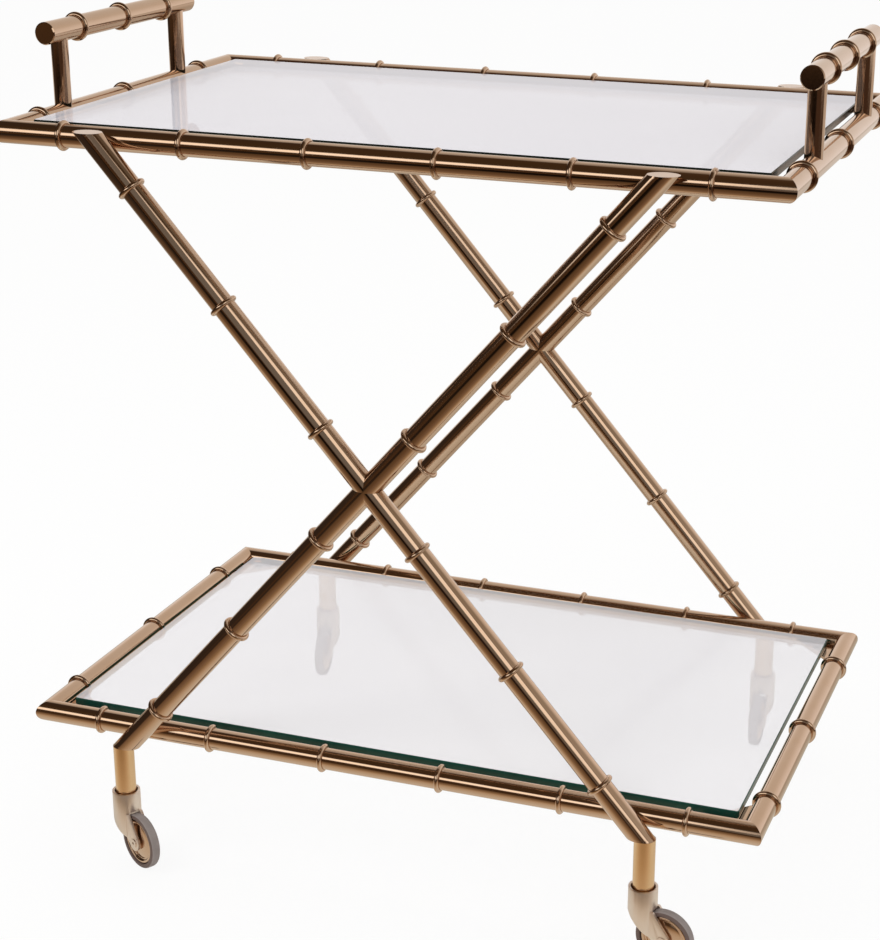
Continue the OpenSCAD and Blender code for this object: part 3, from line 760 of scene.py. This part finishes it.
# depths below the boss's face: the rim, the dome's start, the groove's inside and its middle
RIM_DEEP, DOME_DEEP, GROOVE_IN_DEEP, GROOVE_DEEP = 1.0 * MM, 0.9 * MM, 3.4 * MM, 3.3 * MM
# the groove's sides lie this far from its middle
GROOVE_SIDE = 0.8 * MM
# from the end of the rim's round edge to its full radius: this much out, and this much deeper
RIM_LEDGE, RIM_DROP = 0.2 * MM, 0.4 * MM
# the tyre's seat on the rim, the small lip beside it and the round shoulder of the tread
SEAT_GAP, SEAT_DEEP = 0.05 * MM, 1.2 * MM
LIP_FOOT, LIP_FOOT_DEEP, LIP_OUT, LIP_ROUND = 0.3 * MM, 0.4 * MM, 1.0 * MM, 0.7 * MM
SHOULDER = 2.6 * MM
# steps of a small arc and of a large one
FEW, MANY = 4, 10


def wheel_outline(half, rim):
    """Half a wheel's outline, from half its width and its rim's radius."""
    face = half - RIM_DEEP
    dome = [(DOME_START + (DOME_END - DOME_START) * share,
             half - DOME_DEEP - DOME_SLOPE * share - DOME_BEND * share ** 2) for share in DOME_SHARES]
    bead = (rim - GROOVE - GROOVE_SIDE - RIM_LEDGE) / 2
    return ([(BORE, half)]
            + arc((BOSS - BOSS_ROUND, half - BOSS_ROUND), BOSS_ROUND, 90, 0, FEW)
            + dome
            + [(GROOVE - GROOVE_SIDE, half - GROOVE_IN_DEEP), (GROOVE, half - GROOVE_DEEP)]
            + arc((GROOVE + GROOVE_SIDE + bead, face - bead), bead, 180, 0, MANY)
            + [(rim, face - bead - RIM_DROP)])


def tyre_outline(half, rim, tread):
    """Half a tyre's outline, from half its width, the rim's radius and its own."""
    return ([(rim + SEAT_GAP, half - SEAT_DEEP), (rim + LIP_FOOT, half - LIP_FOOT_DEEP)]
            + arc((rim + LIP_OUT, half - LIP_ROUND), LIP_ROUND, 150, 90, FEW)
            + arc((tread - SHOULDER, half - SHOULDER), SHOULDER, 90, 0, MANY))


# %% Wheels and tyres
joints = {joint["name"]: joint for joint in frame["record"]["behaviour"]["joints"]}
CORNERS = ("front_left", "front_right", "back_left", "back_right")
WHEEL_SHARP, TYRE_SHARP = 50, 60
# a tyre's face is tread where more than this share of its normal points away from the axle
TREAD_FACING = 0.75


def width_along(node, axis):
    """How wide a node is along a direction."""
    places = [vert.co.dot(axis) for vert in nodes[node].data.vertices]
    return max(places) - min(places)


def radius_of(node):
    """Half the height of a node, which is the radius of a wheel on a level axle."""
    low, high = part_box(node)
    return (high[2] - low[2]) / 2


for corner in CORNERS:
    spin = joints[corner + "_wheel_spin"]
    centre, axle = Vector(spin["pos_m"]), Vector(spin["axis"])
    rim, tread = radius_of(corner + "_hub"), radius_of(corner + "_tyre")
    half = width_along(corner + "_tyre", axle) / 2
    outline = mirrored(wheel_outline(half, rim))
    hub = lathed(corner + "_turned_wheel", outline, centre, axle, WHEEL_SHARP)
    hub.materials.append(POLISHED_BRASS)
    add_piece(hub.name, hub, corner + "_wheel", "polished_brass", corner + "_hub")
    outline = mirrored(tyre_outline(half, rim, tread))
    tyre = lathed(corner + "_moulded_tyre", outline, centre, axle, TYRE_SHARP)
    tyre.materials.append(TYRE_RUBBER)
    tyre.materials.append(TREAD_RUBBER)
    for face in tyre.polygons:
        out = face.center - centre
        out -= out.dot(axle) * axle
        face.material_index = int(face.normal.dot(out.normalized()) > TREAD_FACING)
    add_piece(tyre.name, tyre, corner + "_wheel", "tyre_rubber", corner + "_tyre")
    print(corner, "wheel", round(tread / MM, 2), "mm radius,", round(2 * half / MM, 1), "mm wide")

# %% [markdown]
# ## The forks
# The forks are cast, and tumbling takes the sharpness off every edge of a casting, which then draws a thin
# bright line. Their shape is right in the CAD, so each is a copy of its node, joined into one skin, with its
# flat facets merged and a small bevel on its sharp edges.

# %% Tumbled forks
EDGE_RADIUS = 0.5 * MM
SKIN_WELD = 2 * WELD
# degrees: facets that turn by less are one flat face, and edges that turn by more are sharp
FLAT_WITHIN, SHARP_FROM = 0.4, 35
TUMBLED = {"limit_method": "ANGLE", "angle_limit": math.radians(SHARP_FROM), "width": EDGE_RADIUS,
           "segments": 2, "harden_normals": True}


def tumbled_copy(node, name):
    """A joined copy of a node's mesh with rounded edges."""
    shape = bmesh.new()
    shape.from_mesh(nodes[node].data)
    bmesh.ops.remove_doubles(shape, verts=shape.verts, dist=SKIN_WELD)
    bmesh.ops.dissolve_limit(shape, angle_limit=math.radians(FLAT_WITHIN),
                             verts=shape.verts, edges=shape.edges)
    for face in shape.faces:
        face.smooth = True
    skin = bpy.data.meshes.new(name + "_skin")
    shape.to_mesh(skin)
    shape.free()
    mesh = applied(name, skin, "BEVEL", TUMBLED)
    mesh.materials.append(SATIN_BRASS)
    return mesh


for corner in CORNERS:
    mesh = tumbled_copy(corner + "_fork", corner + "_cast_fork")
    fork = add_piece(mesh.name, mesh, corner + "_swivel", "pale_brass", corner + "_fork")
    print(fork.name, len(mesh.polygons), "faces")

# %% [markdown]
# ## Finishes for the CAD's own nodes
# The tubes, pins, plates and pads are already the right shape and carry smooth normals, so they keep their
# meshes and only get a finish in their material slots. The nodes that a piece stands for are hidden, and
# they get one too, so that no slot is left bare.

# %% Finishes
# by the last word of a node's name; the rest is polished brass
FINISHES = {"foot": FOOT_BRASS, "fork": SATIN_BRASS, "axle": SATIN_BRASS, "stem": TURNED_STEEL,
            "tyre": TYRE_RUBBER, "pads": CLEAR_VINYL, "washers": NYLON, "glass": PANE_GLASS["upper"]}
for name, node in nodes.items():
    for place in node.material_slots:
        place.material = FINISHES.get(name.split("_")[-1], POLISHED_BRASS)
print("finishes on", len(nodes), "nodes")
